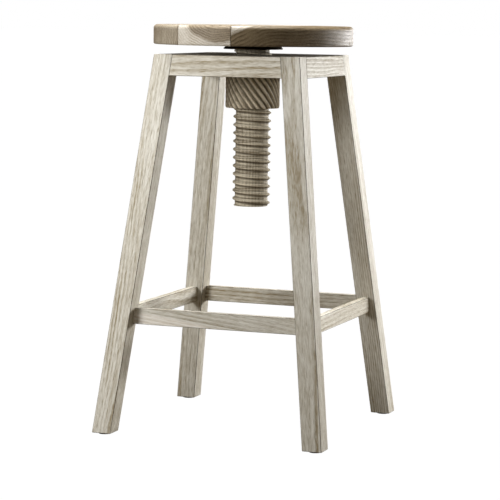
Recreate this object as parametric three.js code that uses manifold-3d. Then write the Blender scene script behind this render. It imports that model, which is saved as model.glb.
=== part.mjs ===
// An adjustable swivel stool. A round seat of three boards turns on a wooden screw, which climbs
// through a fluted nut held under the top of a splayed frame with four legs.
// Millimetres, +Z up. The origin is on the floor, on the screw's axis. -Y is the front.
import * as THREE from "three";
import { mergeVertices } from "three/addons/utils/BufferGeometryUtils.js";
import Module from "manifold-3d";

const wasm = await Module();
wasm.setup();

// --- Driving sizes -----------------------------------------------------------------------------

// Frame
const frameHeight = 660; // floor to the top of the legs
const frameTopWidth = 267; // over the legs' outer faces, at the top
const frameBaseWidth = 423; // over the legs' outer faces, at the floor
const legThickness = 35; // square
const footChamfer = 2; // the eased edge round the foot of a leg
const apronHeight = 36.5;
const apronThickness = 20;
const apronTenon = { thickness: 8, height: 26, length: 15, inset: 6 };
const stretcherHeight = 28;
const stretcherThickness = 14;
const stretcherMiddle = 206; // height of the middle of every stretcher
const stretcherTenon = { thickness: 8, height: 20, length: 10 };
const stretcherSetback = { front: 20, right: 11, rear: 4, left: 11 }; // in from the legs' outer faces
const boardThickness = 18; // the top board that carries the nut
const cleatWidth = 15; // square strips that carry the top board

// Screw and nut. The thread is left-handed, so turning the seat clockwise from above raises it.
const spindleLength = 276.5;
const threadCrestRadius = 33.5;
const threadDepth = 4.4; // from crest to core
const threadPitch = 14.5;
const threadBaseWidth = 8; // width of the ridge where it leaves the core
const threadTipWidth = 2.8; // width of the ridge at its crest
const threadStart = 6.6; // height of the first crest above the spindle's foot, on the +X side
const spindleChamfer = 3;
const threadClearance = 0.9; // between the spindle's thread and the nut's
const nutWall = 14.5; // from the thread's crest to the flutes' crests
const nutLength = 75.5;
const nutFlutes = 26;
const fluteDepth = 2.4;
const fluteAngle = 37.5; // degrees between a flute and the axis
const boardHoleClearance = 2; // round the spindle, in the top board

// Seat
const seatGap = 9.4; // from the frame up to the seat plate, with the seat as drawn
const seatRadius = 176;
const seatThickness = 34.5;
const seatTopRound = 6.5; // radius of the rounded upper edge
const seatBottomChamfer = 1.5;
const seatJoints = [-78.7, 24]; // where the seat's boards meet, across the stool
const dowelRadius = 4;
const dowelLength = 36;
const dowelEdge = 35; // from the outer dowels to the rim of the seat
const plateOverhang = 19; // how far the plate reaches past the spindle
const plateThickness = 7;
const plateRim = 1.5; // height of the plate's edge below its bevel
const plateBevel = 4.5; // how far the bevel comes in
const pinRadius = 5; // the centre pin that the seat turns on
const pinLength = 60;
const pinHeadRadius = 9.5;
const pinHeadHeight = 4;

// Fasteners and feet
const screwShank = 2; // radii of the countersunk wood screws
const screwHead = 4.2;
const screwHeadHeight = 2.6;
const screwHeadEdge = 0.4;
const screwPoint = 4; // length of the tapered point
const nutScrew = { count: 4, length: 45 };
const cleatScrew = { reach: 62, length: 30 }; // reach is from the middle of the cleat
const spindleScrew = { count: 4, length: 45 };
const plateScrew = { count: 6, length: 25 };
const glideRadius = 11;
const glideThickness = 2.5;
const glideNailRadius = 1.5;
const glideNailLength = 14;
const glideRound = 1.2;

const gap = 0.3; // between neighbouring pieces
const overrun = 5; // how far a cutting tool runs past what it cuts
const mergeDistance = 1e-4;
const facets = { small: 8, middle: 16, plate: 36, seat: 64, thread: 18 }; // in a full turn

// --- Sizes worked out from them ----------------------------------------------------------------

const splay = (frameBaseWidth - frameTopWidth) / 2 / frameHeight; // outwards, per mm downwards
const outerFace = (z) => frameTopWidth / 2 + splay * (frameHeight - z);
const innerFace = (z) => outerFace(z) - legThickness;
const boardBottom = frameHeight - boardThickness;
const threadRootRadius = threadCrestRadius - threadDepth;
const nutRadius = threadCrestRadius + nutWall;
const plateRadius = threadCrestRadius + plateOverhang;
const nutTop = boardBottom - gap;
const nutBottom = nutTop - nutLength;
const plateBottom = frameHeight + seatGap;
const plateTop = plateBottom + plateThickness;
const spindleTop = plateBottom - gap;
const spindleBottom = spindleTop - spindleLength;
const seatBottom = plateTop + gap;
const dowelHeight = seatBottom + seatThickness / 2;
const legFoot = glideThickness + gap;
const footCentre = outerFace(0) - legThickness / 2;
const quarterTurn = Math.PI / 2;
const fullTurn = 2 * Math.PI;

// --- Finishes ----------------------------------------------------------------------------------

const finishes = {
  paleWood: { color: 0xb5a895, roughness: 0.72, metalness: 0 },
  seatWood: { color: 0x8c7d66, roughness: 0.65, metalness: 0 },
  screwWood: { color: 0x6f6252, roughness: 0.6, metalness: 0 },
  blackIron: { color: 0x1d1a17, roughness: 0.55, metalness: 0.8 },
  steel: { color: 0x8d8b86, roughness: 0.4, metalness: 1 },
  beech: { color: 0xc3a27a, roughness: 0.6, metalness: 0 },
  nylon: { color: 0x6b4a31, roughness: 0.5, metalness: 0 },
};

// --- Solids ------------------------------------------------------------------------------------

// A closed geometry as a manifold-3d solid.
function solid(geometry) {
  const bare = geometry.index ? geometry.toNonIndexed() : geometry.clone();
  bare.deleteAttribute("normal");
  bare.deleteAttribute("uv");
  const merged = mergeVertices(bare, mergeDistance);
  return new wasm.Manifold(
    new wasm.Mesh({
      numProp: 3,
      vertProperties: merged.attributes.position.array,
      triVerts: new Uint32Array(merged.index.array),
    }),
  );
}

// A manifold-3d solid back as a geometry.
function geometryOf(body) {
  const mesh = body.getMesh();
  const geometry = new THREE.BufferGeometry();
  geometry.setAttribute("position", new THREE.BufferAttribute(mesh.vertProperties, mesh.numProp));
  geometry.setIndex(new THREE.BufferAttribute(mesh.triVerts, 1));
  geometry.computeVertexNormals();
  return geometry;
}

const cut = (geometry, tools) =>
  geometryOf(tools.reduce((rest, tool) => rest.subtract(solid(tool)), solid(geometry)));

const join = (one, other) => geometryOf(solid(one).add(solid(other)));

const common = (one, other) => geometryOf(solid(one).intersect(solid(other)));

// A box between two heights, centred on x and y.
function block(width, depth, bottom, top) {
  return new THREE.BoxGeometry(width, depth, top - bottom).translate(0, 0, (bottom + top) / 2);
}

// A profile of [radius, height] pairs, turned about the Z axis.
function turned(profile, segments) {
  const points = profile.map(([radius, height]) => new THREE.Vector2(radius, height));
  return new THREE.LatheGeometry(points, segments).rotateX(quarterTurn);
}

function cylinder(radius, bottom, top, segments) {
  return turned([[0, bottom], [radius, bottom], [radius, top], [0, top]], segments);
}

// Leans a geometry inwards as it rises, as the legs do: along x by leanX and along y by leanY.
function lean(geometry, leanX, leanY) {
  return geometry.applyMatrix4(
    new THREE.Matrix4().makeShear(0, 0, 0, 0, leanX * splay, leanY * splay),
  );
}

// A shape drawn in x and height, given a depth that runs from y = 0 towards +Y.
function upright(shape, depth) {
  return new THREE.ExtrudeGeometry(shape, { depth, bevelEnabled: false })
    .rotateX(quarterTurn)
    .translate(0, depth, 0);
}

function shapeOf(corners) {
  return new THREE.Shape(corners.map(([x, y]) => new THREE.Vector2(x, y)));
}

// --- Frame -------------------------------------------------------------------------------------

// The sides of the frame, and how far each is turned from the front one.
const sides = [
  { name: "front", turn: 0 },
  { name: "right", turn: quarterTurn },
  { name: "rear", turn: 2 * quarterTurn },
  { name: "left", turn: 3 * quarterTurn },
];

const corners = [
  { name: "front_left", x: -1, y: -1 },
  { name: "front_right", x: 1, y: -1 },
  { name: "rear_right", x: 1, y: 1 },
  { name: "rear_left", x: -1, y: 1 },
];

// The board between two legs, with its ends cut to the legs' splay.
function railBoard(bottom, top, thickness) {
  const shape = shapeOf([
    [gap - innerFace(bottom), bottom],
    [innerFace(bottom) - gap, bottom],
    [innerFace(top) - gap, top],
    [gap - innerFace(top), top],
  ]);
  return upright(shape, thickness);
}

// One bar that is both tenons of a rail. With clearance it is the tool that cuts their mortises.
function tenonBar(middle, tenon, inset, clearance) {
  const length = 2 * (innerFace(middle) + tenon.length + clearance);
  const reach = tenon.height / 2 + clearance;
  const depth = tenon.thickness + 2 * clearance;
  return block(length, depth, middle - reach, middle + reach)
    .translate(0, inset - clearance + depth / 2, 0);
}

// Moves what is drawn from y = 0 to the legs' outer faces, leaning with them.
const flushWithLegs = (geometry) => lean(geometry, 0, 1).translate(0, -outerFace(0), 0);

const apronMiddle = frameHeight - apronHeight / 2;
const apronBar = (clearance) =>
  flushWithLegs(tenonBar(apronMiddle, apronTenon, apronTenon.inset, clearance));

function apron(side) {
  const board = railBoard(frameHeight - apronHeight, frameHeight, apronThickness);
  return join(flushWithLegs(board), apronBar(0)).rotateZ(side.turn);
}

const stretcherFace = (side) => stretcherSetback[side.name] - outerFace(stretcherMiddle);
const stretcherInset = (stretcherThickness - stretcherTenon.thickness) / 2;
const stretcherBar = (side, clearance) =>
  tenonBar(stretcherMiddle, stretcherTenon, stretcherInset, clearance)
    .translate(0, stretcherFace(side), 0);

function stretcher(side) {
  const bottom = stretcherMiddle - stretcherHeight / 2;
  const board = railBoard(bottom, bottom + stretcherHeight, stretcherThickness)
    .translate(0, stretcherFace(side), 0);
  return join(board, stretcherBar(side, 0)).rotateZ(side.turn);
}

// The square foot below the chamfer, narrowed towards the floor.
function footTool() {
  const wide = legThickness + 2 * overrun;
  const half = legThickness / 2;
  const around = block(wide, wide, legFoot - overrun, legFoot + footChamfer);
  const kept = new THREE.CylinderGeometry(half, half - footChamfer, footChamfer, 4, 1)
    .rotateX(quarterTurn)
    .rotateZ(quarterTurn / 2)
    .scale(Math.SQRT2, Math.SQRT2, 1)
    .translate(0, 0, legFoot + footChamfer / 2);
  return cut(around, [kept]);
}

function leg(corner) {
  const post = cut(block(legThickness, legThickness, legFoot, frameHeight), [footTool()]);
  lean(post, -corner.x, -corner.y).translate(corner.x * footCentre, corner.y * footCentre, 0);
  const mortises = sides.flatMap((side) => [
    apronBar(gap).rotateZ(side.turn),
    stretcherBar(side, gap).rotateZ(side.turn),
  ]);
  const nailHole = cylinder(glideNailRadius + gap, 0, legFoot + glideNailLength + gap, facets.small)
    .translate(corner.x * footCentre, corner.y * footCentre, 0);
  return cut(post, [...mortises, nailHole]);
}

// A plain disc with a nail, driven into the foot of a leg. It stands on z = 0.
function glide() {
  return turned([
    [0, 0],
    [glideRadius - glideRound, 0],
    [glideRadius, glideRound],
    [glideRadius, glideThickness],
    [glideNailRadius, glideThickness],
    [glideNailRadius, glideThickness + glideNailLength - glideNailRadius],
    [0, glideThickness + glideNailLength],
  ], facets.middle);
}

// --- Screws ------------------------------------------------------------------------------------

// A countersunk wood screw that points down from its head, which is at z = 0.
// With clearance it is the tool that cuts its hole.
function woodScrew(length, clearance) {
  const head = screwHead + clearance;
  const shank = screwShank + clearance;
  const top = clearance && overrun;
  return turned([
    [0, -length - clearance],
    [shank, screwPoint - length],
    [shank, -screwHeadHeight],
    [head, -screwHeadEdge],
    [head, top],
    [0, top],
  ], facets.small);
}

// Where the screws of a circle stand, midway between an inner and an outer radius.
function circlePlaces(count, inner, outer, z) {
  const radius = (inner + outer) / 2;
  return Array.from({ length: count }, (_, i) => {
    const angle = ((i + 0.5) / count) * fullTurn;
    return [radius * Math.cos(angle), radius * Math.sin(angle), z];
  });
}

const boreRadius = threadCrestRadius + threadClearance;
const nutScrewPlaces =
  circlePlaces(nutScrew.count, boreRadius, nutRadius - fluteDepth, frameHeight);
const spindleScrewPlaces =
  circlePlaces(spindleScrew.count, pinRadius, threadRootRadius, plateTop);
const plateScrewPlaces =
  circlePlaces(plateScrew.count, threadCrestRadius, plateRadius, plateBottom);
const cleatMiddle = outerFace(boardBottom) - apronThickness - gap - cleatWidth / 2;
const cleatScrewPlaces = corners.map(({ x, y }) => [
  x * cleatMiddle,
  y * cleatScrew.reach,
  frameHeight,
]);

const screwHoles = (places, length) =>
  places.map((place) => woodScrew(length, gap).translate(...place));

const screwHolesFromBelow = (places, length) =>
  places.map((place) => woodScrew(length, gap).rotateX(Math.PI).translate(...place));

// --- Top board, cleats and nut -----------------------------------------------------------------

function topBoard() {
  const edge = outerFace(frameHeight) - apronThickness - gap;
  const notch = innerFace(frameHeight) - gap;
  const shape = shapeOf([
    [-notch, -edge], [notch, -edge], [notch, -notch], [edge, -notch],
    [edge, notch], [notch, notch], [notch, edge], [-notch, edge],
    [-notch, notch], [-edge, notch], [-edge, -notch], [-notch, -notch],
  ]);
  const board = new THREE.ExtrudeGeometry(shape, { depth: boardThickness, bevelEnabled: false })
    .translate(0, 0, boardBottom);
  const holeRadius = threadCrestRadius + boardHoleClearance;
  return cut(board, [
    cylinder(holeRadius, boardBottom - overrun, frameHeight + overrun, facets.plate),
    ...screwHoles(nutScrewPlaces, nutScrew.length),
    ...screwHoles(cleatScrewPlaces, cleatScrew.length),
  ]);
}

function cleat(side) {
  const top = boardBottom - gap;
  const length = 2 * (innerFace(frameHeight) - gap);
  const strip = block(length, cleatWidth, top - cleatWidth, top)
    .translate(0, apronThickness + gap + cleatWidth / 2, 0);
  const placed = flushWithLegs(strip).rotateZ(side.turn);
  return cut(placed, screwHoles(cleatScrewPlaces, cleatScrew.length));
}

// A bar with one left-handed thread, from below bottom to above top, with its first crest as the
// spindle's is. grow widens it all over, for the tool that cuts the nut's thread.
// Its grid has a column for each step of the turn, and rows that follow the thread down and round.
function threadedBar(bottom, top, grow) {
  const columns = facets.thread;
  const base = threadBaseWidth / 2 + grow;
  const tip = threadTipWidth / 2 + grow;
  const ridge = [
    [threadRootRadius + grow, -base],
    [threadCrestRadius + grow, -tip],
    [threadCrestRadius + grow, tip],
    [threadRootRadius + grow, base],
  ];
  const rows = ridge.length;
  const crest = spindleBottom + threadStart;
  const firstTurn = Math.floor((bottom - crest) / threadPitch) - 1;
  const turns = Math.ceil((top - crest) / threadPitch) + 2 - firstTurn;
  const last = turns * rows;
  const positions = [];
  for (let column = 0; column < columns; column += 1) {
    const turn = column / columns;
    for (let row = 0; row <= last; row += 1) {
      const [radius, height] = ridge[row % rows];
      const climb = firstTurn + Math.floor(row / rows) - turn;
      positions.push(
        radius * Math.cos(turn * fullTurn),
        radius * Math.sin(turn * fullTurn),
        crest + height + climb * threadPitch,
      );
    }
  }
  const foot = positions.length / 3;
  const head = foot + 1;
  positions.push(0, 0, crest + (firstTurn - 1) * threadPitch);
  positions.push(0, 0, crest + (firstTurn + turns) * threadPitch);
  const at = (column, row) => column * (last + 1) + row;
  const seam = columns - 1; // the last column meets the first one a turn lower
  const index = [];
  for (let column = 0; column < columns; column += 1) {
    const [next, drop] = column === seam ? [0, rows] : [column + 1, 0];
    for (let row = drop; row < last; row += 1) {
      index.push(at(column, row), at(next, row - drop), at(next, row + 1 - drop));
      index.push(at(column, row), at(next, row + 1 - drop), at(column, row + 1));
    }
  }
  const footLoop = [];
  const headLoop = [];
  for (let column = 0; column < columns; column += 1) {
    footLoop.push(at(column, 0));
    headLoop.push(at(column, last));
  }
  for (let row = 0; row < rows; row += 1) {
    footLoop.push(at(seam, row + 1));
    headLoop.push(at(0, last - rows + row));
  }
  for (let i = 0; i < footLoop.length; i += 1) {
    const next = (i + 1) % footLoop.length;
    index.push(foot, footLoop[next], footLoop[i]);
    index.push(head, headLoop[i], headLoop[next]);
  }
  const geometry = new THREE.BufferGeometry();
  geometry.setAttribute("position", new THREE.Float32BufferAttribute(positions, 3));
  geometry.setIndex(index);
  return geometry;
}

// The nut's outline: round-topped flutes, each with two points on its crest and two in its hollow.
function nutOutline() {
  const step = fullTurn / nutFlutes;
  const flute = [
    [-0.2, nutRadius],
    [0.2, nutRadius],
    [0.38, nutRadius - fluteDepth],
    [0.62, nutRadius - fluteDepth],
  ];
  const points = [];
  for (let i = 0; i < nutFlutes; i += 1) {
    for (const [share, radius] of flute) {
      const angle = (i + share) * step;
      points.push([radius * Math.cos(angle), radius * Math.sin(angle)]);
    }
  }
  return shapeOf(points);
}

// Turns each level of a geometry about Z, by so many radians for each mm of height.
function twisted(geometry, perHeight) {
  const position = geometry.attributes.position;
  const point = new THREE.Vector3();
  const axis = new THREE.Vector3(0, 0, 1);
  for (let i = 0; i < position.count; i += 1) {
    point.fromBufferAttribute(position, i);
    point.applyAxisAngle(axis, point.z * perHeight);
    position.setXYZ(i, point.x, point.y, point.z);
  }
  return geometry;
}

function screwNut() {
  const options = { depth: nutLength, steps: 6, bevelEnabled: false };
  const twist = -Math.tan(THREE.MathUtils.degToRad(fluteAngle)) / nutRadius;
  const fluted = twisted(new THREE.ExtrudeGeometry(nutOutline(), options), twist)
    .translate(0, 0, nutBottom);
  return cut(fluted, [
    threadedBar(nutBottom, nutTop, threadClearance),
    ...screwHoles(nutScrewPlaces, nutScrew.length),
  ]);
}

// --- Spindle, plate and pin --------------------------------------------------------------------

const pinHole = () =>
  cylinder(pinRadius + gap, plateTop - pinLength - gap, plateTop + overrun, facets.middle);

function spindle() {
  const envelope = turned([
    [0, spindleBottom],
    [threadCrestRadius - spindleChamfer, spindleBottom],
    [threadCrestRadius + overrun, spindleBottom + spindleChamfer + overrun],
    [threadCrestRadius + overrun, spindleTop],
    [0, spindleTop],
  ], facets.plate);
  const threaded = common(threadedBar(spindleBottom, spindleTop, 0), envelope);
  return cut(threaded, [pinHole(), ...screwHoles(spindleScrewPlaces, spindleScrew.length)]);
}

function seatPlate() {
  const disc = turned([
    [0, plateBottom],
    [plateRadius, plateBottom],
    [plateRadius, plateBottom + plateRim],
    [plateRadius - plateBevel, plateTop],
    [0, plateTop],
  ], facets.plate);
  return cut(disc, [
    pinHole(),
    ...screwHoles(spindleScrewPlaces, spindleScrew.length),
    ...screwHolesFromBelow(plateScrewPlaces, plateScrew.length),
  ]);
}

const pinHeadBottom = plateTop + gap;
const pinHeadTop = pinHeadBottom + pinHeadHeight;

function centrePin() {
  return turned([
    [0, plateTop - pinLength],
    [pinRadius, plateTop - pinLength],
    [pinRadius, pinHeadBottom],
    [pinHeadRadius, pinHeadBottom],
    [pinHeadRadius, pinHeadTop],
    [0, pinHeadTop],
  ], facets.middle);
}

// --- Seat --------------------------------------------------------------------------------------

// The whole round seat, as it would be if it were one board.
function seatDisc() {
  const top = seatBottom + seatThickness;
  const steps = 4;
  const rounded = Array.from({ length: steps + 1 }, (_, i) => {
    const angle = (i / steps) * quarterTurn;
    return [
      seatRadius - seatTopRound * (1 - Math.cos(angle)),
      top - seatTopRound * (1 - Math.sin(angle)),
    ];
  });
  return turned([
    [0, seatBottom],
    [seatRadius - seatBottomChamfer, seatBottom],
    [seatRadius, seatBottom + seatBottomChamfer],
    ...rounded,
    [0, top],
  ], facets.seat);
}

// Three dowels across each joint: one in the middle, and one near each end.
const dowelSpots = seatJoints.flatMap((x) => {
  const chord = Math.sqrt(seatRadius ** 2 - (Math.abs(x) + dowelLength / 2) ** 2);
  const reach = chord - dowelEdge;
  return [-reach, 0, reach].map((y) => [x, y, dowelHeight]);
});

// A dowel along X, about the origin.
function dowel(clearance) {
  const half = dowelLength / 2 + clearance;
  return cylinder(dowelRadius + clearance, -half, half, facets.small).rotateY(quarterTurn);
}

function seatBoard(left, right) {
  const strip = block(right - left, 2 * (seatRadius + overrun), seatBottom - overrun,
    seatBottom + seatThickness + overrun).translate((left + right) / 2, 0, 0);
  const pocket = cylinder(pinHeadRadius + gap, seatBottom - overrun, pinHeadTop + gap, facets.middle);
  return cut(common(seatDisc(), strip), [
    pocket,
    ...screwHolesFromBelow(plateScrewPlaces, plateScrew.length),
    ...dowelSpots.map((spot) => dowel(gap).translate(...spot)),
  ]);
}

// --- Assembly ----------------------------------------------------------------------------------

function piece(name, geometry, finish, place = [0, 0, 0]) {
  const mesh = new THREE.Mesh(geometry, new THREE.MeshStandardMaterial(finish));
  mesh.name = name;
  mesh.position.set(...place);
  return mesh;
}

function screws(name, places, length) {
  return places.map((place, i) =>
    piece(name + "_" + (i + 1), woodScrew(length, 0), finishes.steel, place),
  );
}

const group = new THREE.Group();
const frame = new THREE.Group();
const lift = new THREE.Group();
const seat = new THREE.Group();
group.add(frame, lift, seat);

for (const corner of corners) {
  const foot = [corner.x * footCentre, corner.y * footCentre, 0];
  frame.add(piece("leg_" + corner.name, leg(corner), finishes.paleWood));
  frame.add(piece("glide_" + corner.name, glide(), finishes.nylon, foot));
}
for (const side of sides) {
  frame.add(piece("apron_" + side.name, apron(side), finishes.paleWood));
  frame.add(piece("stretcher_" + side.name, stretcher(side), finishes.paleWood));
}
frame.add(piece("top_board", topBoard(), finishes.paleWood));
frame.add(piece("cleat_right", cleat(sides[1]), finishes.paleWood));
frame.add(piece("cleat_left", cleat(sides[3]), finishes.paleWood));
frame.add(piece("screw_nut", screwNut(), finishes.screwWood));
frame.add(...screws("nut_screw", nutScrewPlaces, nutScrew.length));
frame.add(...screws("cleat_screw", cleatScrewPlaces, cleatScrew.length));

lift.add(piece("centre_pin", centrePin(), finishes.steel));

seat.add(piece("spindle", spindle(), finishes.screwWood));
seat.add(piece("seat_plate", seatPlate(), finishes.blackIron));
seat.add(...screws("spindle_screw", spindleScrewPlaces, spindleScrew.length));
for (const screw of screws("plate_screw", plateScrewPlaces, plateScrew.length)) {
  screw.rotation.x = Math.PI;
  seat.add(screw);
}
const boardEdges = [-seatRadius - overrun, ...seatJoints, seatRadius + overrun];
const boardNames = ["seat_board_left", "seat_board_middle", "seat_board_right"];
boardNames.forEach((name, i) => {
  const board = seatBoard(boardEdges[i] + gap / 2, boardEdges[i + 1] - gap / 2);
  seat.add(piece(name, board, finishes.seatWood));
});
dowelSpots.forEach((spot, i) => {
  seat.add(piece("seat_dowel_" + (i + 1), dowel(0), finishes.beech, spot));
});

export default group;
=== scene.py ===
# %% [markdown]
# # A swivel stool with a wooden screw
# Four splayed legs carry a fluted wooden nut. A wooden screw turns in the nut, and the round seat
# sits on top of the screw, so turning the seat raises or lowers it. Every piece below takes its
# place from that model, so nothing here decides a size: it only gives each piece its finished
# surface.

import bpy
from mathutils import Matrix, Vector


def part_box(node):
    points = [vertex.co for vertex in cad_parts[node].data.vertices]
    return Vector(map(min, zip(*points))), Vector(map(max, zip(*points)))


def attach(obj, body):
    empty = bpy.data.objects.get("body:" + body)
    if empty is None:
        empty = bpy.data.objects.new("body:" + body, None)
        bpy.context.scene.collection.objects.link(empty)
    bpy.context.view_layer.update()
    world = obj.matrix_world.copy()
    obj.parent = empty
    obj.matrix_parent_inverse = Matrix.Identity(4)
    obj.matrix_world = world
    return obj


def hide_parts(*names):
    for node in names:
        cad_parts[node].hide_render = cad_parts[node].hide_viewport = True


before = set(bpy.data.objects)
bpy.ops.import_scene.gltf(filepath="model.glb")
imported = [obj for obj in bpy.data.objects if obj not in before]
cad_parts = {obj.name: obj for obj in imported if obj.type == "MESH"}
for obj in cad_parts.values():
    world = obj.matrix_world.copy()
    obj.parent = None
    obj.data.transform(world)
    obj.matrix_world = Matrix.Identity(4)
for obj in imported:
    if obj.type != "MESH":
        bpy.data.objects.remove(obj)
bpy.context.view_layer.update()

# %% [markdown]
# ## Libraries
# Three libraries come with Blender. bpy holds the scene with its objects and materials, bmesh
# shapes meshes with the operators of the mesh editor, and mathutils has vectors and matrices.

# %% Libraries
import math

import bmesh
import bpy
from mathutils import Matrix, Vector

print("Blender", bpy.app.version_string)

# %% [markdown]
# ## The camera
# A product shot is taken from far away with a long lens, so that the legs hardly converge. The
# camera stands to the right of the stool's front, a little above the seat, and looks slightly
# down. Its turn is written as three angles, and its two side axes come from cross products.

# %% Camera
CAMERA_PLACE = Vector((1.3306, -3.5607, 0.7385))
CAMERA_YAW = math.radians(-20.5)
CAMERA_PITCH = math.radians(6.39)
CAMERA_ROLL = math.radians(0.83)
FOCAL_LENGTH = 154.46  # mm
SENSOR_WIDTH = 36  # mm

forward = Vector((
    math.sin(CAMERA_YAW) * math.cos(CAMERA_PITCH),
    math.cos(CAMERA_YAW) * math.cos(CAMERA_PITCH),
    -math.sin(CAMERA_PITCH),
))
level_right = Vector((math.cos(CAMERA_YAW), -math.sin(CAMERA_YAW), 0))
level_up = level_right.cross(forward)
right = level_right * math.cos(CAMERA_ROLL) + level_up * math.sin(CAMERA_ROLL)
up = level_up * math.cos(CAMERA_ROLL) - level_right * math.sin(CAMERA_ROLL)

camera_data = bpy.data.cameras.new("camera")
camera_data.lens = FOCAL_LENGTH
camera_data.sensor_width = SENSOR_WIDTH
camera = bpy.data.objects.new("camera", camera_data)
bpy.context.scene.collection.objects.link(camera)
camera.matrix_world = Matrix((right, up, -forward)).transposed().to_4x4()
camera.location = CAMERA_PLACE
bpy.context.scene.camera = camera
print("camera looks along", tuple(round(v, 3) for v in forward))

# %% [markdown]
# ## Nodes as Python expressions
# A wood finish is mostly arithmetic on positions. Wiring that by hand takes dozens of Math nodes,
# so a small class wraps a socket and turns `a * 2 + b` into the nodes themselves. Everything that
# isn't arithmetic on numbers comes from one method, `Nodes.node`. It takes the type of a node, its
# settings, and the values or links of its sockets.

# %% Numbers on sockets
class Number:
    """A socket that carries one number. Arithmetic on it adds Math nodes to its tree."""

    def __init__(self, nodes, socket):
        self.nodes = nodes
        self.socket = socket

    def math(self, operation, *others):
        return self.nodes.math(operation, self, *others)

    def __add__(self, other):
        return self.math("ADD", other)

    def __sub__(self, other):
        return self.math("SUBTRACT", other)

    def __rsub__(self, other):
        return self.nodes.math("SUBTRACT", other, self)

    def __mul__(self, other):
        return self.math("MULTIPLY", other)

    def __truediv__(self, other):
        return self.math("DIVIDE", other)

    def __rtruediv__(self, other):
        return self.nodes.math("DIVIDE", other, self)

    __radd__ = __add__
    __rmul__ = __mul__

    def between(self, low, high):
        """0 below low, 1 above high, smooth in between."""
        return self.nodes.node(
            "ShaderNodeMapRange",
            {"interpolation_type": "SMOOTHSTEP"},
            {"Value": self, "From Min": low, "From Max": high},
        ).number()


class Built:
    """A node that has been made. Its outputs are read by name or by number."""

    def __init__(self, nodes, node):
        self.nodes = nodes
        self.node = node

    def number(self, output=0):
        return Number(self.nodes, self.node.outputs[output])

    def __getitem__(self, output):
        return self.node.outputs[output]


class Nodes:
    """The node tree of a material or of the world, while it is written."""

    def __init__(self, tree):
        self.tree = tree

    def node(self, kind, settings, inputs):
        made = self.tree.nodes.new(kind)
        for name, value in settings.items():
            setattr(made, name, value)
        for name, value in inputs.items():
            self.feed(made.inputs[name], value)
        return Built(self, made)

    def feed(self, socket, value):
        if isinstance(value, Number):
            self.tree.links.new(value.socket, socket)
        elif isinstance(value, bpy.types.NodeSocket):
            self.tree.links.new(value, socket)
        elif socket.type == "RGBA":
            socket.default_value = (*value, 1)
        else:
            socket.default_value = value

    def math(self, operation, *values):
        inputs = dict(enumerate(values))
        return self.node("ShaderNodeMath", {"operation": operation}, inputs).number()


print("sockets can be added, subtracted, multiplied and divided")

# %% [markdown]
# ## A finish
# Every finish is one Principled shader whose colour, roughness and bumps come from noise. UV maps
# could place the noise, but wood and metal are solid, so it reads Object coordinates instead. A
# finished piece stays at the origin, unturned, so these are plain metres on every piece.

# %% Finish
SEED_STEPS = (1, 1.7, 2.3)  # how far one step of the seed shifts the noise along each axis


class Finish(Nodes):
    """A material being written, with its Principled shader."""

    def __init__(self, name, **plain):
        self.material = bpy.data.materials.new(name)
        self.material.use_nodes = True
        super().__init__(self.material.node_tree)
        self.shader = self.tree.nodes["Principled BSDF"]
        self.set(**plain)

    def set(self, **values):
        for name, value in values.items():
            label = name.replace("_", " ").title().replace("Ior", "IOR")
            self.feed(self.shader.inputs[label], value)

    def vector(self, operation, one, other):
        return self.node(
            "ShaderNodeVectorMath", {"operation": operation}, {0: one, 1: other},
        )["Vector"]

    def place(self, centre=(0, 0, 0)):
        """Object coordinates, moved so that centre is the origin."""
        here = self.node("ShaderNodeTexCoord", {}, {})["Object"]
        return self.vector("SUBTRACT", here, centre)

    def noise(self, place, stretch, detail, roughness, seed):
        """Noise from 0 to 1. stretch gives its cells per metre along each axis."""
        stretched = self.vector("MULTIPLY", place, stretch)
        shifted = self.vector("ADD", stretched, tuple(seed * step for step in SEED_STEPS))
        return self.node(
            "ShaderNodeTexNoise", {"normalize": True},
            {"Vector": shifted, "Scale": 1.0, "Detail": detail, "Roughness": roughness},
        ).number("Fac")

    def stored(self, layer):
        """The number that a layer of the mesh holds at each place, or 0 without that layer."""
        return self.node("ShaderNodeAttribute", {"attribute_name": layer}, {}).number("Fac")

    def mix(self, factor, one, other):
        """Colour one where the factor is 0, the other where it is 1."""
        colours = {"Factor": factor, 6: one, 7: other}
        return self.node("ShaderNodeMix", {"data_type": "RGBA", "clamp_factor": True}, colours)[2]

    def bump(self, height, distance, strength):
        return self.node(
            "ShaderNodeBump", {}, {"Height": height, "Distance": distance, "Strength": strength},
        )["Normal"]


print("finishes can be written")

# %% [markdown]
# ## Wood
# The frame is open-pored hardwood, bleached and brushed. Wood is a solid: a tree's growth rings
# are cylinders round the pith, and a board is a straight cut through them. So the pattern is made
# the same way, as distance from a pith line that runs beside the piece. Faces then show long
# flames, ends show arcs, and every edge matches, with no picture to stretch. Noise that is drawn
# out along the grain bends the rings, and finer noise gives fibres and the dark pores.

# %% Wood
# Each noise: cells per metre (twice across the grain, then along it), detail, roughness, and what
# it adds to the seed, so that no two of them line up.
NOISES = {
    "bend": ((8, 8, 1.6), 2, 0.5, 0),
    "sway": ((60, 60, 9), 3, 0.6, 3),
    "uneven": ((30, 30, 4), 2, 0.5, 5),
    "fibre": ((620, 620, 60), 3, 0.7, 7),
    "streak": ((430, 25, 4), 3, 0.65, 9),
    "cloud": ((16, 16, 4), 3, 0.55, 11),
    "pore": ((1100, 1100, 70), 1, 0.4, 13),
    "tool marks": ((12, 12, 1300), 2, 0.6, 17),
}
BEND_TO_SWAY = 7  # a slow bend shifts the rings this much further than a quick sway
PLAIN_SHADE = 0.22  # how far an even patch is from the pale colour towards the dark one
RING_SHADE = 0.6
FIBRE_SHADE = 1.9
CLOUD_SHADE = 0.9
SAP_BLUR = 0.003  # m, half the width over which the heartwood turns into sapwood
SAP_STRAY = 0.02  # m, how far that border strays
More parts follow.
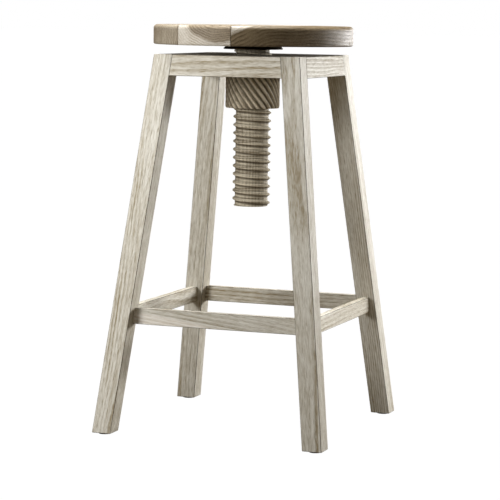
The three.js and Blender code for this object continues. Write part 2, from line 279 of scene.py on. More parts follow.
CREVICE_TONE = 0.27  # grooves and arrises, as a share of the dark colour
GRAIN_DEPTH = 0.0004


def tinted(colour, tone):
    return tuple(channel * tone for channel in colour)


def wood(
    name, grain, centre, pith, pale, dark, seed,
    ring=0.0065, wander=0.006, contrast=1.0, lean=(0, 0), sapwood=None,
    roughness=0.56, gloss=0.2, tooling=0.0,
):
    """A finish whose grain runs along X, Y or Z through centre, with the pith beside it.

    ring is the width of one year, and wander how far the rings stray. lean slants the pattern
    along the piece, for a leg that leans or a board sawn at a slant to its grain. sapwood is the
    distance from the pith where the outer wood starts, with its pale and its dark colour. tooling
    is how strongly the marks of the tool show.
    """
    finish = Finish(name, specular_ior_level=gloss)
    parts = finish.node("ShaderNodeSeparateXYZ", {}, {0: finish.place(centre)})
    x, y, z = parts.number("X"), parts.number("Y"), parts.number("Z")
    across, aside, along = {"X": (y, z, x), "Y": (x, z, y), "Z": (x, y, z)}[grain]
    across = across + along * lean[0]
    aside = aside + along * lean[1]
    local = finish.node("ShaderNodeCombineXYZ", {}, {0: across, 1: aside, 2: along})["Vector"]

    def grown(kind, where=local):
        cells, detail, fineness, step = NOISES[kind]
        return finish.noise(where, cells, detail, fineness, seed + step)

    # A year starts pale, darkens slowly and ends at once.
    from_pith = (
        (across - pith[0]).math("POWER", 2) + (aside - pith[1]).math("POWER", 2)
    ).math("SQRT")
    bend = (grown("bend") - 0.5) * (wander * BEND_TO_SWAY)
    sway = (grown("sway") - 0.5) * wander
    distance = from_pith + bend + sway
    year = (distance / ring).math("FRACT")
    late = year.between(0.1, 0.8) - year.between(0.86, 0.98)
    uneven = grown("uneven").between(0.35, 0.62)

    # Streaks follow the rings, so they read the distance from the pith as their first axis.
    layers = finish.node("ShaderNodeCombineXYZ", {}, {0: distance, 1: aside, 2: along})["Vector"]
    streak = grown("streak", layers)
    fibre = grown("fibre")
    cloud = grown("cloud")
    pore = grown("pore").between(0.6, 0.7)

    rings = late * (uneven * 0.8 + 0.2) * RING_SHADE
    figure = rings + (streak - 0.5) + (fibre - 0.5) * FIBRE_SHADE + (cloud - 0.5) * CLOUD_SHADE
    shade = figure * contrast + PLAIN_SHADE + pore * (late * 0.3 + 0.12)
    height = fibre * 0.6 + streak * 0.5 - late * 0.3 - pore * 0.7
    if tooling:
        marks = grown("tool marks")
        shade = shade + (marks - 0.5) * tooling
        height = height + marks * 0.8
    tone = finish.mix(shade, pale, dark)
    if sapwood:
        radius, sap_pale, sap_dark = sapwood
        border = distance + (cloud - 0.5) * SAP_STRAY
        outside = border.between(radius - SAP_BLUR, radius + SAP_BLUR)
        tone = finish.mix(outside, tone, finish.mix(shade, sap_pale, sap_dark))
    # The recess layer carries painted shade in the thread's corners and under its ridges, and dirt
    # with painted shade in the nut's flutes. The arris layer darkens the crests of eased edges.
    crevice = finish.stored("recess").math("MAXIMUM", finish.stored("arris"))
    finish.set(
        base_color=finish.mix(crevice, tone, tinted(dark, CREVICE_TONE)),
        roughness=late * 0.06 + fibre * 0.2 + (roughness - 0.12),
        normal=finish.bump(height, GRAIN_DEPTH, 0.9),
    )
    return finish.material


print("wood can be written from", len(NOISES), "noises")

# %% [markdown]
# ## Turning a rough mesh into a piece
# Each piece is modelled in a bmesh, then written to an object at the origin. Its sharp edges are
# marked by angle, and a Weighted Normal modifier keeps the big flat faces flat beside the small
# rounded edges.

# %% Pieces
SMOOTH_BELOW = math.radians(32)
MERGE = 1e-6  # m, vertices closer than this become one


def piece(name, bm, material, body, nodes, flat_faces=True):
    mesh = bpy.data.meshes.new(name)
    bmesh.ops.remove_doubles(bm, verts=bm.verts, dist=MERGE)
    bmesh.ops.recalc_face_normals(bm, faces=bm.faces)
    bm.to_mesh(mesh)
    bm.free()
    mesh.shade_smooth()
    mesh.set_sharp_from_angle(angle=SMOOTH_BELOW)
    mesh.materials.append(material)
    made = bpy.data.objects.new(name, mesh)
    bpy.context.scene.collection.objects.link(made)
    if flat_faces:
        weighted = made.modifiers.new("flat faces", "WEIGHTED_NORMAL")
        weighted.keep_sharp = True
    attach(made, body)
    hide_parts(*nodes)
    return made


print("edges flatter than", round(math.degrees(SMOOTH_BELOW)), "degrees are smooth")

# %% [markdown]
# ## Sawing and sanding
# Real timber is sawn from a block, and its sharp edges are then sanded round. bmesh has an operator
# for each step: bisect_plane saws and bevel rounds. A Bevel modifier could round edges too, but
# the operator says which faces it made. Those on the crest of an edge are marked in a layer of
# their own, because wax and dust make an arris darker than the faces beside it.

# %% Sawing and sanding
NEAR = 1e-5  # m, two heights this close are the same
ON_PLANE = 1e-7  # m, a vertex this close to a plane lies on it
CREST_FACES = 0.93  # a crest face looks along no axis: its normal's largest part is below this
ROUND_SEGMENTS = 4


def block(width, depth, height):
    bm = bmesh.new()
    bmesh.ops.create_cube(bm, size=1)
    bmesh.ops.scale(bm, vec=(width, depth, height), verts=bm.verts)
    return bm


def cut(bm, point, normal):
    """Takes away what lies beyond a plane, and leaves the cut open."""
    bmesh.ops.bisect_plane(
        bm, geom=[*bm.verts, *bm.edges, *bm.faces], plane_co=point, plane_no=normal,
        clear_outer=True, dist=ON_PLANE,
    )


def saw(bm, point, normal):
    """Takes away what lies beyond a plane, and closes the cut."""
    cut(bm, point, normal)
    bmesh.ops.holes_fill(bm, edges=[edge for edge in bm.edges if edge.is_boundary], sides=0)


def ease(bm, edges, width):
    """Rounds edges, and marks the faces on their crests in the layer for arrises."""
    arris = bm.faces.layers.float.get("arris") or bm.faces.layers.float.new("arris")
    made = bmesh.ops.bevel(
        bm, geom=list(edges), offset=width, offset_type="OFFSET", affect="EDGES",
        segments=ROUND_SEGMENTS, profile=0.5, material=-1, clamp_overlap=True,
    )
    bm.normal_update()
    for face in made["faces"]:
        if max(abs(part) for part in face.normal) < CREST_FACES:
            face[arris] = 1.0


print("timber can be sawn and sanded")

# %% [markdown]
# ## The splay
# Every leg leans outwards by the same amount in both directions. Two numbers of the frame follow
# from one leg's box: how wide the frame is at the top, and how much wider it gets lower down.

# %% Splay of the frame
LEG_SIDE = 0.035
FOOT_CHAMFER = 0.002
EDGE = 0.0013  # radius of the eased edges of the frame

leg_low, leg_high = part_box("leg_front_left")
TOP = leg_high.z
FOOT = leg_low.z
top_outer = LEG_SIDE - leg_high.x
SPLAY = (-leg_low.x - top_outer) / (TOP - FOOT - FOOT_CHAMFER)


def outer(z):
    """From the stool's axis to a leg's outer face, at a height."""
    return top_outer + SPLAY * (TOP - z)


def inner(z):
    """From the stool's axis to a leg's inner face, at a height."""
    return outer(z) - LEG_SIDE


print("the legs lean", round(math.degrees(math.atan(SPLAY)), 2), "degrees")

# %% [markdown]
# ## Legs
# A leg is a square bar that was sawn with a small chamfer round its foot, and set at an angle. It
# is modelled upright and then sheared, which keeps its section square and level at the top and
# the foot, as a splayed leg is cut. Each leg came from another board, so each has its own pith,
# tone and seed.

# %% Legs
PALE = (0.70, 0.678, 0.605)
DARK = (0.28, 0.225, 0.135)
LEG_FIGURE = {"ring": 0.0048, "wander": 0.0048, "contrast": 0.9}
LEGS = {
    "front_left": {"sides": (-1, -1), "pith": (0.05, 0.035), "tone": 1.06, "seed": 2.0},
    "front_right": {"sides": (1, -1), "pith": (-0.02, 0.045), "tone": 0.93, "seed": 11.0},
    "rear_right": {"sides": (1, 1), "pith": (0.06, -0.02), "tone": 1.1, "seed": 23.0},
    "rear_left": {"sides": (-1, 1), "pith": (-0.05, 0.05), "tone": 1.1, "seed": 31.0},
}

for corner, leg in LEGS.items():
    side_x, side_y = leg["sides"]
    bm = block(LEG_SIDE, LEG_SIDE, TOP - FOOT)
    bmesh.ops.translate(bm, vec=(0, 0, (TOP + FOOT) / 2), verts=bm.verts)
    ease(bm, [e for e in bm.edges if e.calc_length() > LEG_SIDE * 2], EDGE)
    ease(bm, [e for e in bm.edges if all(v.co.z < FOOT + NEAR for v in e.verts)], FOOT_CHAMFER)
    at_floor = inner(TOP) + LEG_SIDE / 2 + SPLAY * TOP
    bmesh.ops.transform(bm, verts=bm.verts, matrix=Matrix((
        (1, 0, -side_x * SPLAY, side_x * at_floor),
        (0, 1, -side_y * SPLAY, side_y * at_floor),
        (0, 0, 1, 0),
        (0, 0, 0, 1),
    )))
    timber = wood(
        "leg_wood_" + corner, "Z", (side_x * at_floor, side_y * at_floor, 0), leg["pith"],
        tinted(PALE, leg["tone"]), tinted(DARK, leg["tone"]), leg["seed"],
        lean=(side_x * SPLAY, side_y * SPLAY), **LEG_FIGURE,
    )
    piece("post_" + corner, bm, timber, "frame", ["leg_" + corner])
print(len(LEGS), "legs")

# %% [markdown]
# ## Rails
# The four aprons at the top lean with the legs and lie flush with their outer faces. The four
# stretchers below stand plumb. Both are boards whose ends are cut to the legs' splay, so both
# start as a long block, and a plane along the leg's inner face trims each end. One function draws
# a rail at the front, and quarter turns move it to its own side.

# %% Rails
FIT = 0.00005  # m, a glued joint is closed as far as the eye can see
QUARTER_TURNS = {"front": 0, "right": 1, "rear": 2, "left": 3}


def to_side(side):
    return Matrix.Rotation(QUARTER_TURNS[side] * math.pi / 2, 3, "Z")


def grain_along(side):
    """A rail at the front or rear runs along X, one at the right or left along Y."""
    return "XY"[QUARTER_TURNS[side] % 2]


def facing(side, z, depth):
    """A point on a side of the frame at height z, depth in from the legs' outer faces."""
    point = Vector((0, depth - outer(z), z))
    point.rotate(to_side(side))
    return tuple(point)


def rail(kind, side, low, high, thickness, setback, leans, material):
    """A board between two legs, from height low to high, set back from the legs' outer faces."""
    bm = block(3 * inner(low), thickness, high - low)
    bmesh.ops.translate(bm, vec=(0, thickness / 2, (low + high) / 2), verts=bm.verts)
    for way in (-1, 1):
        saw(bm, (way * (inner(TOP) - FIT), 0, TOP), (way, 0, SPLAY))
    ease(bm, [e for e in bm.edges if e.calc_length() > 2 * (high - low)], EDGE)
    drop = SPLAY if leans else 0
    front = setback - outer(TOP if leans else (low + high) / 2)
    bmesh.ops.transform(bm, verts=bm.verts, matrix=Matrix((
        (1, 0, 0, 0),
        (0, 1, drop, front - drop * TOP),
        (0, 0, 1, 0),
        (0, 0, 0, 1),
    )))
    bmesh.ops.rotate(bm, cent=(0, 0, 0), matrix=to_side(side), verts=bm.verts)
    node_name = kind + "_" + side
    piece(kind + "_board_" + side, bm, material, "frame", [node_name])


print("rails are trimmed", round(inner(TOP), 4), "m from the middle at the top")

# %% [markdown]
# ## Aprons
# The aprons are quarter-sawn looking boards with a quiet figure, each cut from another plank. The
# front and right ones are made paler, which paints light over the seat's shadow on them. On the
# front and rear ones the grain runs along X, on the others along Y, so each finish is placed on
# its own board.

# %% Aprons
APRON_THICKNESS = 0.020
APRON_CONTRAST = 0.75
# The front and right aprons' higher tone is painted light against the seat's shadow on them.
APRONS = {
    "front": {"pith": (0.03, -0.045), "tone": 1.27, "seed": 41.0},
    "right": {"pith": (0.05, -0.06), "tone": 1.22, "seed": 47.0},
    "rear": {"pith": (-0.05, 0.05), "tone": 1.0, "seed": 53.0},
    "left": {"pith": (0.04, -0.05), "tone": 1.0, "seed": 59.0},
}
for side, board in APRONS.items():
    low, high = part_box("apron_" + side)
    middle = facing(side, (low.z + high.z) / 2, APRON_THICKNESS / 2)
    timber = wood(
        "apron_wood_" + side, grain_along(side), middle, board["pith"],
        tinted(PALE, board["tone"]), tinted(DARK, board["tone"]), board["seed"],
        contrast=APRON_CONTRAST,
    )
    rail("apron", side, low.z, high.z, APRON_THICKNESS, 0, True, timber)
print(len(APRONS), "aprons")

# %% [markdown]
# ## Stretchers
# The stretchers brace the legs low down, a little set back from their faces. The front one was
# sawn at a slant to its tree: the rings cross it, and pale sapwood runs out at its left end. That
# pale end is painted light, for the front light that falls brighter on the left. The lean and the
# sapwood of the wood finish do that, and the other three keep its plain settings.

# %% Stretchers
STRETCHER_THICKNESS = 0.014
STRETCHERS = {
    "front": {"setback": 0.020, "pith": (-0.03, 0.10), "tone": 1.0, "seed": 61.0},
    "right": {"setback": 0.011, "pith": (0.04, -0.05), "tone": 1.36, "seed": 67.0},
    "rear": {"setback": 0.004, "pith": (0.03, 0.04), "tone": 1.2, "seed": 71.0},
    "left": {"setback": 0.011, "pith": (-0.05, -0.03), "tone": 1.3, "seed": 73.0},
}
# The pale sapwood at the front stretcher's left end is painted light: the front light falls
# brighter there.
SLANT_SAWN_LIT_END = {
    "wander": 0.002,
    "lean": (0, 0.116),
    "sapwood": (0.111, (0.92, 0.89, 0.83), (0.64, 0.58, 0.48)),
}
for side, board in STRETCHERS.items():
    low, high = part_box("stretcher_" + side)
    setback = board["setback"]
    timber = wood(
        "stretcher_wood_" + side, grain_along(side),
        facing(side, (low.z + high.z) / 2, setback), board["pith"],
        tinted(PALE, board["tone"]), tinted(DARK, board["tone"]), board["seed"],
        **(SLANT_SAWN_LIT_END if side == "front" else {}),
    )
    rail("stretcher", side, low.z, high.z, STRETCHER_THICKNESS, setback, False, timber)
print(len(STRETCHERS), "stretchers")

# %% [markdown]
# ## The thread
# A screw thread is one short profile that turns and rises. The profile here is one pitch long,
# from the middle of a groove over the rounded ridge to the next groove, so that each turn starts
# where the last one ended. Spin with a rise for each step makes the whole thread in one call, and
# a plane trims each end level. The corners beside the ridge and its underside get painted shade,
# so the profile carries a number for it.

# %% Thread
CREST = 0.0335
ROOT = 0.0291
PITCH = 0.0145
RIDGE_FOOT = 0.008
RIDGE_TIP = 0.0028
FIRST_CREST = 0.0066  # above the spindle's foot
TURN_STEPS = 48
THREAD_MERGE = 2e-5  # m, joins each turn to the next
SHADE_BELOW_RIDGE, SHADE_ABOVE_RIDGE, SHADE_ON_FLANK = 0.85, 0.5, 0.6  # in the corners of a ridge and on its underside
FLANK_SHADE_TOP = 0.9  # no painted shade above this share of the ridge's height

spindle_low, spindle_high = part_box("spindle")


def thread_profile(half_foot, half_tip):
    """One pitch, as (share of the depth, height) points from the groove below to the one above."""
    upper = [
        (0.92, half_tip * 0.85), (0.62, half_tip * 1.35), (0.12, half_foot * 0.86),
        (0.0, half_foot), (0.0, PITCH / 2),
    ]
    lower = [(share, -z) for share, z in reversed(upper)]
    return [*lower, (1.0, 0.0), *upper]


def thread(low, high, grow):
    """A left-handed thread from height low to high, open at both ends. grow widens it all round."""
    half_foot = RIDGE_FOOT / 2 + grow
    profile = thread_profile(half_foot, RIDGE_TIP / 2 + grow)
    first = spindle_low.z + FIRST_CREST
    turns_above = math.ceil((high - first) / PITCH) + 1
    turns_below = math.ceil((first - low) / PITCH) + 1
    start = first - turns_below * PITCH
    turns = turns_above + turns_below + 1
    bm = bmesh.new()
    recess = bm.verts.layers.float.new("recess")
    verts = [
        bm.verts.new((ROOT + grow + share * (CREST - ROOT), 0, start + z)) for share, z in profile
    ]
    # Painted shade: the corners beside the ridge and the ridge's underside are marked darker.
    for vertex, (share, z) in zip(verts, profile):
        if abs(abs(z) - half_foot) < MERGE:
            vertex[recess] = SHADE_BELOW_RIDGE if z < 0 else SHADE_ABOVE_RIDGE
        elif z < 0 < share < FLANK_SHADE_TOP:
            vertex[recess] = SHADE_ON_FLANK
    edges = [bm.edges.new(pair) for pair in zip(verts, verts[1:])]
    bmesh.ops.spin(
        bm, geom=[*verts, *edges], cent=(0, 0, 0), axis=(0, 0, -1),
        dvec=(0, 0, PITCH / TURN_STEPS), angle=turns * 2 * math.pi, steps=turns * TURN_STEPS,
        use_merge=False,
    )
    bmesh.ops.remove_doubles(bm, verts=bm.verts, dist=THREAD_MERGE)
    cut(bm, (0, 0, low), (0, 0, -1))
    cut(bm, (0, 0, high), (0, 0, 1))
    return bm


def close_ends(bm, *heights):
    for height in heights:
        rim = [
            edge for edge in bm.edges
            if edge.is_boundary and all(abs(v.co.z - height) < NEAR for v in edge.verts)
        ]
        bmesh.ops.triangle_fill(bm, edges=rim, use_beauty=True, use_dissolve=False)


print("one turn lifts the seat", PITCH, "m")

# %% [markdown]
# ## The wooden screw
# The spindle is the thread with both ends closed. Its foot has a small chamfer, so that the thread
# finds its way into the nut. Pulling in each vertex that stands outside a cone makes that chamfer
# without touching the thread above it. The lathe has left fine rings across the grain.

# %% Spindle
SPINDLE_CHAMFER = 0.003
SCREW_PALE = (0.85, 0.77, 0.605)
SCREW_DARK = (0.14, 0.097, 0.048)
BROWN_FIGURE = {"ring": 0.006, "roughness": 0.55, "gloss": 0.12}

bm = thread(spindle_low.z, spindle_high.z, 0)
close_ends(bm, spindle_low.z, spindle_high.z)
for vertex in bm.verts:
    cone = CREST - SPINDLE_CHAMFER + vertex.co.z - spindle_low.z
    reach = vertex.co.xy.length
    if reach > cone:
        vertex.co.xy *= cone / reach
turned_wood = wood(
    "turned_wood", "Z", (0, 0, 0), (0.11, 0.03), SCREW_PALE, SCREW_DARK, 83.0,
    contrast=0.4, tooling=3.8, **BROWN_FIGURE,
)
piece("threaded_spindle", bm, turned_wood, "seat", ["spindle"], flat_faces=False)
print("spindle", round(spindle_high.z - spindle_low.z, 4), "m long")

# %% [markdown]
# ## The fluted nut
# The nut's outside carries slanted flutes all round, like a knurl cut with a gouge. A ring of
# vertices is pushed in and out to make the flutes' section, then extruded upwards in short steps,
# each turned a little further, which winds the flutes round. The bore is the spindle's thread
# again, a little larger, and a filled ring closes the nut at the top and the foot.

# %% Nut
FLUTES = 26
FLUTE_DEPTH = 0.0024
FLUTE_ANGLE = math.radians(37.5)
FLUTE_WIDTH = 0.8  # below 1 the flutes are wide and the ridges between them narrow
FLUTE_DIRT_AND_SHADE = 0.8
POINTS_PER_FLUTE = 10
NUT_STEPS = 26
NUT_WALL = 0.0145
CLEARANCE = 0.0009
LIP = 0.0012
NUT_PALE = (0.74, 0.65, 0.50)
NUT_DARK = (0.17, 0.125, 0.068)

nut_low, nut_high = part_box("screw_nut")
nut_radius = CREST + NUT_WALL
nut_height = nut_high.z - nut_low.z
step_turn = -math.tan(FLUTE_ANGLE) / nut_radius * nut_height / NUT_STEPS

bm = thread(nut_low.z, nut_high.z, CLEARANCE)
recess = bm.verts.layers.float["recess"]
ring = bmesh.ops.create_circle(
    bm, segments=FLUTES * POINTS_PER_FLUTE, radius=nut_radius,
    matrix=Matrix.Translation((0, 0, nut_low.z)),
)["verts"]
for vertex in ring:
    wave = math.cos(FLUTES * math.atan2(vertex.co.y, vertex.co.x))
    groove = (0.5 - wave / 2) ** FLUTE_WIDTH
    vertex.co.xy *= 1 - groove * FLUTE_DEPTH / nut_radius
    # The flutes' hollows are marked darker: dirt, and painted shade.
    vertex[recess] = groove ** 2 * FLUTE_DIRT_AND_SHADE
outside = set(ring)
loop = [edge for edge in bm.edges if outside.issuperset(edge.verts)]
for _ in range(NUT_STEPS):
    new = bmesh.ops.extrude_edge_only(bm, edges=loop)["geom"]
    loop = [item for item in new if isinstance(item, bmesh.types.BMEdge)]
    moved = [item for item in new if isinstance(item, bmesh.types.BMVert)]
    bmesh.ops.translate(bm, vec=(0, 0, nut_height / NUT_STEPS), verts=moved)
    bmesh.ops.rotate(
        bm, cent=(0, 0, 0), matrix=Matrix.Rotation(step_turn, 3, "Z"), verts=moved,
    )
for vertex in [*ring, *moved]:
    vertex.co.xy *= 1 - LIP / nut_radius
close_ends(bm, nut_low.z, nut_high.z)
nut_wood = wood(
    "nut_wood", "Z", (0, 0, 0), (-0.08, 0.09), NUT_PALE, NUT_DARK, 89.0,
    contrast=0.6, **BROWN_FIGURE,
)
piece("fluted_nut", bm, nut_wood, "frame", ["screw_nut"], flat_faces=False)
print("nut with", FLUTES, "flutes")

# %% [markdown]
# ## Turned shapes
# The seat plate is a bevelled iron disc, and each foot stands on a small nylon glide. Both are
# turned: a half profile, spun once round the axis. A Screw modifier would do the same, but spin
# gives a closed mesh at once.

# %% Turned shapes
SEAM_MERGE = 1e-7  # m, joins the points of a profile that lie on the axis


def turned(profile, segments, centre=(0, 0, 0)):
    """Spins a profile of (radius, height) points once round the Z axis."""
    bm = bmesh.new()
    verts = [bm.verts.new((radius, 0, z)) for radius, z in profile]
    edges = [bm.edges.new(pair) for pair in zip(verts, verts[1:])]
    bmesh.ops.spin(
        bm, geom=[*verts, *edges], cent=(0, 0, 0), axis=(0, 0, 1), dvec=(0, 0, 0),
        angle=2 * math.pi, steps=segments, use_merge=True,
    )
    bmesh.ops.remove_doubles(bm, verts=bm.verts, dist=SEAM_MERGE)
    bmesh.ops.translate(bm, vec=centre, verts=bm.verts)
    return bm


print("profiles can be turned")

# %% [markdown]
# ## Metal and plastic
# Blackened iron is dark and blotchy where the oil dried unevenly, zinc on steel has small crystals,
# and brown nylon has a fine moulded grain with scuffs. Each is noise at its own scale, which
# changes the colour a little and the roughness more.

# %% Metal and plastic
def iron():
    black, brown = (0.018, 0.010, 0.003), (0.036, 0.022, 0.008)
    finish = Finish("blackened_iron", metallic=1.0)
    place = finish.place()
    blotch = finish.noise(place, (60, 60, 60), 4, 0.6, 3)
    speck = finish.noise(place, (900, 900, 900), 2, 0.5, 5)
    finish.set(
        base_color=finish.mix(blotch, black, brown),
        roughness=blotch * 0.25 + speck * 0.1 + 0.35,
        normal=finish.bump(speck + blotch, 0.0002, 0.5),
    )
    return finish.material


def steel():
    dull, bright = (0.40, 0.39, 0.37), (0.52, 0.51, 0.49)
    finish = Finish("zinc_steel", metallic=1.0)
    crystal = finish.noise(finish.place(), (500, 500, 500), 3, 0.6, 7)
    finish.set(base_color=finish.mix(crystal, dull, bright), roughness=crystal * 0.3 + 0.25)
    return finish.material


def nylon():
    brown, worn = (0.16, 0.085, 0.045), (0.26, 0.15, 0.085)
    finish = Finish("brown_nylon", specular_ior_level=0.4)
    place = finish.place()
    grain = finish.noise(place, (1400, 1400, 1400), 2, 0.5, 9)
    scuff = finish.noise(place, (200, 40, 200), 3, 0.6, 13)
    finish.set(
        base_color=finish.mix(scuff, brown, worn),
        roughness=scuff * 0.2 + 0.4,
        normal=finish.bump(grain, 0.0001, 0.4),
    )
    return finish.material


IRON, STEEL, NYLON = iron(), steel(), nylon()
print("finishes:", IRON.name, STEEL.name, NYLON.name)

# %% [markdown]
# ## Seat plate
# The plate joins the screw to the seat. Its rim is a thin upright edge, and above it a bevel runs
# in to the face that lies under the seat. The smallest steps of the profile break its sharp edges.

# %% Seat plate
PLATE_RIM = 0.0015
PLATE_BEVEL = 0.0045
PLATE_SEGMENTS = 96
BREAK_LOW, BREAK_SIDE, BREAK_HIGH = 0.0004, 0.0008, 0.0006

plate_low, plate_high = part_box("seat_plate")
plate_radius = plate_high.x
bevel_top = plate_radius - PLATE_BEVEL
plate = turned([
    (0, plate_low.z),
    (plate_radius - BREAK_LOW, plate_low.z),
    (plate_radius, plate_low.z + BREAK_LOW),
    (plate_radius, plate_low.z + PLATE_RIM),
    (bevel_top, plate_high.z - BREAK_HIGH),
    (bevel_top - BREAK_SIDE, plate_high.z),
    (0, plate_high.z),
], PLATE_SEGMENTS)
piece("iron_seat_plate", plate, IRON, "seat", ["seat_plate"])
print("plate", round(2 * plate_radius, 4), "m across")

# %% [markdown]
# ## Foot glides
# A glide is a flat disc with a rounded foot and a thin pointed pin, which is knocked into the end
# of the leg. The disc stays a hair below the wood, as a real one does.

# %% Foot glides
GLIDE_ROUND = 0.0012
GLIDE_SEGMENTS = 40
GAP = 0.0003
PIN_RADIUS = 0.0015
PIN_POINT = 0.001

for corner in LEGS:
    low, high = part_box("glide_" + corner)
    middle = (low + high) / 2
    radius = (high.x - low.x) / 2
    disc = turned([
        (0, 0),
        (radius - GLIDE_ROUND, 0),
        (radius - GLIDE_ROUND * 0.3, GLIDE_ROUND * 0.3),
        (radius, GLIDE_ROUND),
        (radius, FOOT - GAP),
        (PIN_RADIUS, FOOT - GAP),
        (PIN_RADIUS, high.z - PIN_POINT),
        (0, high.z),
    ], GLIDE_SEGMENTS, (middle.x, middle.y, 0))
    piece("foot_glide_" + corner, disc, NYLON, "frame", ["glide_" + corner])
print(len(LEGS), "glides")

# %% [markdown]
# ## The seat
# Three boards run from front to back, and together they make a disc. Each starts as a flat disc,
# two planes cut it to the board's width, and it is extruded to its thickness. Its edges are not
# all rounded alike: the sitter's edge is well rounded, the rest just eased. A Bevel modifier that
# reads a weight on each edge does that in one pass, with clean corners where they meet.

# %% Seat helpers
SEAT_SEGMENTS = 180
AT_RIM = 4e-4  # m, a vertex this close to the seat's radius is on its rim
SHORT = 0.02  # m, a joint's edge is longer than this, and a step of the rim is shorter
seat_radius = -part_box("seat_board_left")[0].x


def seat_blank(low, high):
    """A sharp-edged board of the seat that fills the box from low to high."""
    bm = bmesh.new()
    bmesh.ops.create_circle(
        bm, cap_ends=True, segments=SEAT_SEGMENTS, radius=seat_radius,
        matrix=Matrix.Translation((0, 0, low.z)),
    )
    for x, way in ((low.x, -1), (high.x, 1)):
        if abs(x) < seat_radius - NEAR:
            cut(bm, (x, 0, 0), (way, 0, 0))
    grown = bmesh.ops.extrude_face_region(bm, geom=bm.faces[:])["geom"]
    risen = [item for item in grown if isinstance(item, bmesh.types.BMVert)]
    bmesh.ops.translate(bm, vec=(0, 0, high.z - low.z), verts=risen)
    return bm


def edge_kind(edge, low, high):
    """Which of the board's edges this is, by where its ends lie."""
    ends = [vertex.co for vertex in edge.verts]
    on_joint = all(min(abs(end.x - low.x), abs(end.x - high.x)) < NEAR for end in ends)
    at_rim = all(abs(end.xy.length - seat_radius) < AT_RIM for end in ends)
    if abs(ends[0].z - ends[1].z) > NEAR:
        return "corner" if on_joint and at_rim else None
    place = "top" if ends[0].z > (low.z + high.z) / 2 else "foot"
    if on_joint and not (at_rim and edge.calc_length() < SHORT):
        return "joint_" + place
    return "rim_" + place


print("seat", round(2 * seat_radius, 4), "m across")

# %% [markdown]
# ## Three boards
# The boards came from different trees: a greyish one, a warm one and a dark one. The middle and
# the right one each keep a band of pale sapwood, which starts at a set distance from the pith.
# The weights go into the layer of the edges in which the Bevel modifier looks for them.

# %% Seat boards
TOP_ROUND = 0.0065
TOP_ROUND_SEGMENTS = 6
WEIGHTS = {
    "rim_top": 1.0, "rim_foot": 0.45, "joint_top": 0.2, "joint_foot": 0.1, "corner": 0.12,
}
SEAT_FIGURE = {"contrast": 0.8, "roughness": 0.44}
SAP_PALE = (0.64, 0.60, 0.525)
SAP_DARK = (0.30, 0.24, 0.16)
BOARDS = {
    "left": {
        "pith": (-0.30, 0.10), "pale": (0.37, 0.325, 0.25), "dark": (0.15, 0.11, 0.067),
        "seed": 101.0, "ring": 0.0042, "tooling": 1.6, "sapwood": None,
    },
    "middle": {
        "pith": (0.040, 0.075), "pale": (0.33, 0.27, 0.19), "dark": (0.11, 0.08, 0.045),
        "seed": 107.0, "ring": 0.0046, "tooling": 0.0, "sapwood": (0.090, SAP_PALE, SAP_DARK),
    },
    "right": {
        "pith": (0.035, -0.147), "pale": (0.20, 0.15, 0.086), "dark": (0.055, 0.037, 0.016),
        "seed": 113.0, "ring": 0.0060, "tooling": 0.0, "sapwood": (0.181, SAP_PALE, SAP_DARK),
    },
}

for name, board in BOARDS.items():
    low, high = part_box("seat_board_" + name)
    bm = seat_blank(low, high)
    weight = bm.edges.layers.float.new("bevel_weight_edge")
    for edge in bm.edges:
        edge[weight] = WEIGHTS.get(edge_kind(edge, low, high), 0)
    timber = wood(
        "seat_wood_" + name, "Y", tuple((low + high) / 2), board["pith"],
        board["pale"], board["dark"], board["seed"], ring=board["ring"],
        tooling=board["tooling"], sapwood=board["sapwood"], **SEAT_FIGURE,
    )
    made = piece("seat_plank_" + name, bm, timber, "seat", ["seat_board_" + name])
    rounding = made.modifiers.new("rounding", "BEVEL")
    rounding.width = TOP_ROUND
    rounding.segments = TOP_ROUND_SEGMENTS
    rounding.limit_method = "WEIGHT"
    rounding.use_clamp_overlap = False
    made.modifiers.move(1, 0)
print(len(BOARDS), "seat boards")

# %% [markdown]
# ## Pieces kept from the mechanical model
# The top board, the cleats, the screws, the dowels and the centre pin are plain sawn or turned
# parts that sit inside the stool. Their shapes are already right, so they only get a finish.

# %% Finishes for the kept pieces
DOWEL_PALE = (0.62, 0.50, 0.35)
DOWEL_DARK = (0.40, 0.28, 0.17)
INSIDE = wood("inside_wood", "X", (0, 0, TOP), (0.05, -0.09), PALE, DARK, 127.0)
DOWEL = wood("dowel_wood", "X", (0, 0, TOP), (0.02, -0.03), DOWEL_PALE, DOWEL_DARK, 131.0)
# The first match counts, because a screw's name also holds that of the piece it fastens.
KEPT = {
    "_screw_": STEEL, "centre_pin": STEEL, "top_board": INSIDE, "cleat_": INSIDE,
    "seat_dowel": DOWEL,
}
finished = 0
for node_name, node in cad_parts.items():
    for part, material in KEPT.items():
        if part in node_name:
            node.data.materials.clear()
            node.data.materials.append(material)
            finished += 1
            break
print("finished", finished, "kept pieces")

# %% [markdown]
# ## Light
# Two soft lights on opposite sides do most of the work: one in front on the left, and one far off
# on the right, a little behind. They rake along the wood, so the faces that look at them are pale
# and the edges between them go dark. A smaller one behind on the right lights the backs of the
# rear legs, a wide one stands where a backdrop would glow, and one overhead fills the top.

# %% Lights
MIDDLE = (0, 0, 0.38)
# Angle from straight in front (degrees, positive to the right), distance, height, the light's own
# width and height, and its power in watts.
LIGHTS = {
    "front_light": (-36, 1.3, 0.85, 0.5, 0.5, 14.5),
    "right_light": (124, 5.0, 1.15, 0.8, 0.7, 118),
    "rear_light": (150, 3.0, 0.65, 0.6, 0.5, 38),
    "backdrop_light": (170, 4.0, 0.8, 3.0, 1.2, 50),
    "top_light": (0, 0, 2.6, 1.2, 1.2, 115),
}


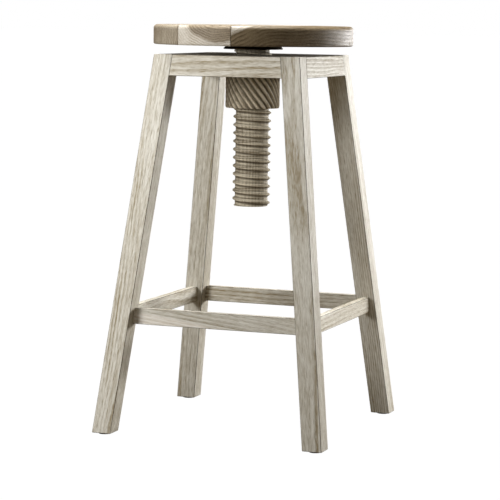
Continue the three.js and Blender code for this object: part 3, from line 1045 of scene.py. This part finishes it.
def soft_light(name, place, width, height, power):
    """A rectangle of light that looks at the middle of the stool."""
    data = bpy.data.lights.new(name, "AREA")
    data.shape = "RECTANGLE"
    data.size = width
    data.size_y = height
    data.energy = power
    light = bpy.data.objects.new(name, data)
    light.location = place
    light.rotation_mode = "QUATERNION"
    light.rotation_quaternion = (Vector(MIDDLE) - Vector(place)).to_track_quat("-Z", "Y")
    light.visible_camera = False
    bpy.context.scene.collection.objects.link(light)


for name, (angle, distance, up_to, width, height, power) in LIGHTS.items():
    turn = math.radians(angle)
    place = (distance * math.sin(turn), -distance * math.cos(turn), up_to)
    soft_light(name, place, width, height, power)
print(len(LIGHTS), "lights")

# %% [markdown]
# ## Sky
# The world plays two parts. The camera sees plain white, and everything else gets a dim warm glow
# that keeps the shadows brown. A glossy reflection sees more of it, which gives the wood its
# faint sheen. The Light Path node tells the three kinds of ray apart.

# %% Sky
WHITE = (1, 1, 1)
SKY_WARMTH = (1.0, 0.80, 0.55)
SKY_GLOW = 0.035
SKY_SHEEN = 0.2

world = bpy.data.worlds.new("studio")
bpy.context.scene.world = world
world.use_nodes = True
sky = Nodes(world.node_tree)
rays = sky.node("ShaderNodeLightPath", {}, {})
warm = sky.tree.nodes["Background"]
sky.feed(warm.inputs["Color"], SKY_WARMTH)
sky.feed(warm.inputs["Strength"], rays.number("Is Glossy Ray") * SKY_SHEEN + SKY_GLOW)
white = sky.node("ShaderNodeBackground", {}, {"Color": WHITE, "Strength": 1.0})
chosen = sky.node(
    "ShaderNodeMixShader", {}, {0: rays["Is Camera Ray"], 1: warm.outputs[0], 2: white[0]},
)
sky.feed(sky.tree.nodes["World Output"].inputs["Surface"], chosen[0])
print("sky of", len(sky.tree.nodes), "nodes")

# %% [markdown]
# ## Floor
# The floor is one wide square. Lit white paper is never quite as white as the sky behind it, so to
# the camera most of the floor glows by itself, and only a little of the shading shows. To the
# stool it stays a dull brown, which throws hardly any light up.

# %% Floor
FLOOR_HALF = 60
FLOOR_DROP = 0.0005
FLOOR_BROWN = (0.10, 0.08, 0.055)
FLOOR_GLOW = 1.07
GLOW_SHARE = 0.94

floor_bm = bmesh.new()
bmesh.ops.create_grid(floor_bm, x_segments=1, y_segments=1, size=FLOOR_HALF)
floor_mesh = bpy.data.meshes.new("floor")
floor_bm.to_mesh(floor_mesh)
floor_bm.free()
floor = bpy.data.objects.new("floor", floor_mesh)
floor.location.z = -FLOOR_DROP
bpy.context.scene.collection.objects.link(floor)

paper = Finish("studio_floor", base_color=FLOOR_BROWN, roughness=0.9, specular_ior_level=0.1)
glow = paper.node("ShaderNodeEmission", {}, {"Color": WHITE, "Strength": FLOOR_GLOW})
share = paper.node("ShaderNodeLightPath", {}, {}).number("Is Camera Ray") * GLOW_SHARE
shown = paper.node("ShaderNodeMixShader", {}, {0: share, 1: paper.shader.outputs[0], 2: glow[0]})
paper.feed(paper.tree.nodes["Material Output"].inputs["Surface"], shown[0])
floor_mesh.materials.append(paper.material)

bpy.context.scene.view_settings.view_transform = "Standard"
print("floor", 2 * FLOOR_HALF, "m across")
